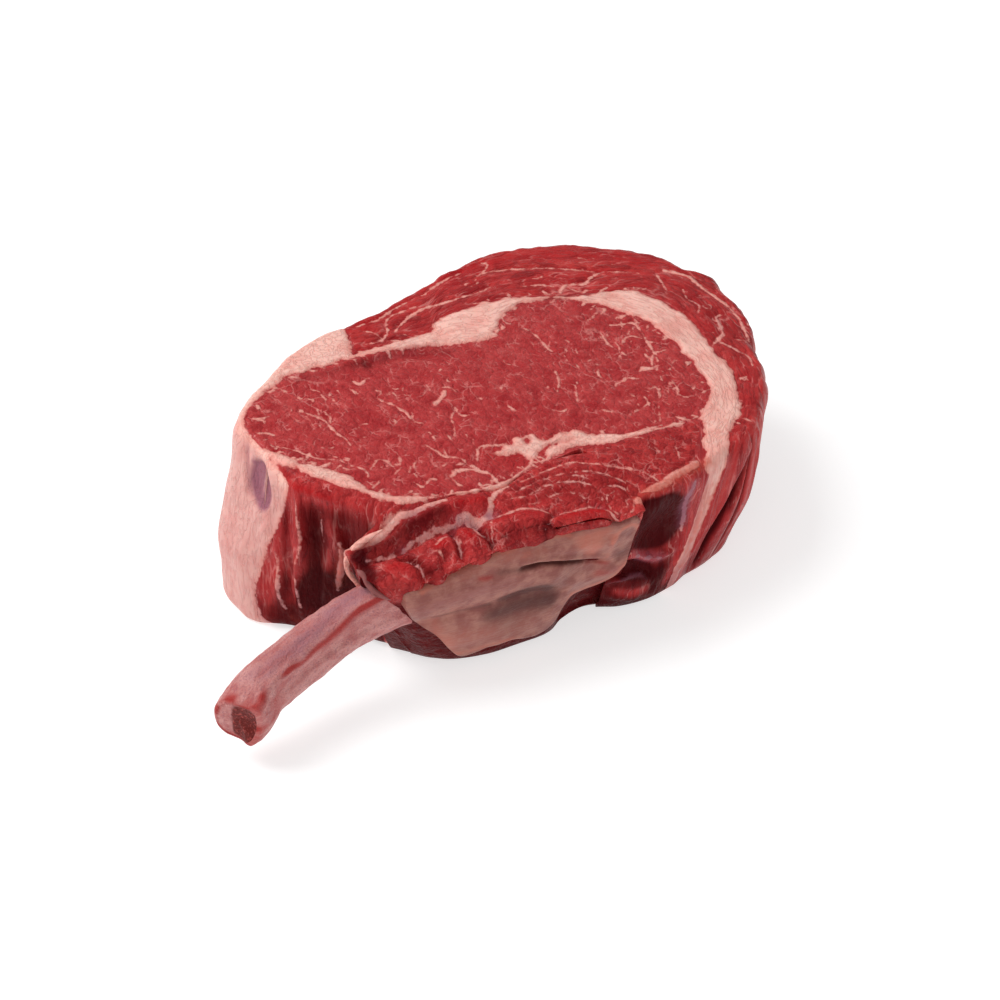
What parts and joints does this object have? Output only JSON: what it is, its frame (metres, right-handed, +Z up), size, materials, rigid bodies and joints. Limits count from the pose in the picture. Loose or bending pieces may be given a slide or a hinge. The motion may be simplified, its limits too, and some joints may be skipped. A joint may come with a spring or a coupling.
{
  "type": "raw bone-in rib steak",
  "caption": "Thick raw bone-in rib steak lying on a cut face: eye and cap muscles, the fat between them, rib meat with its skin, and a cleaned rib bone standing out of the side",
  "frame": {"origin": "on the underside, below the middle of the eye muscle, where the steak rests", "axes": "+X along the rib from its free end towards the thick end, +Y from the rib side towards the back of the steak, +Z up from the resting cut face"},
  "size_m": [0.2141, 0.1247, 0.0635],
  "materials": {
    "lean_meat": "moist raw lean beef with fine grain and thin marbling",
    "cap_meat": "moist raw beef, darker, with long strands",
    "fat": "firm pale pink beef fat, satin",
    "membrane": "thin moist beige-mauve skin over the rib meat",
    "bone": "scraped rib bone, pink with red streaks, satin"
  },
  "bodies": {
    "root": {"ribeye": "lean_meat", "rib_cap": "cap_meat", "inner_muscle": "cap_meat", "side_strap": "cap_meat", "rib_meat": "cap_meat", "kernel_fat": "fat", "side_fat": "fat", "rib_membrane": "membrane", "rib_bone": "bone"}
  },
  "joints": []
}
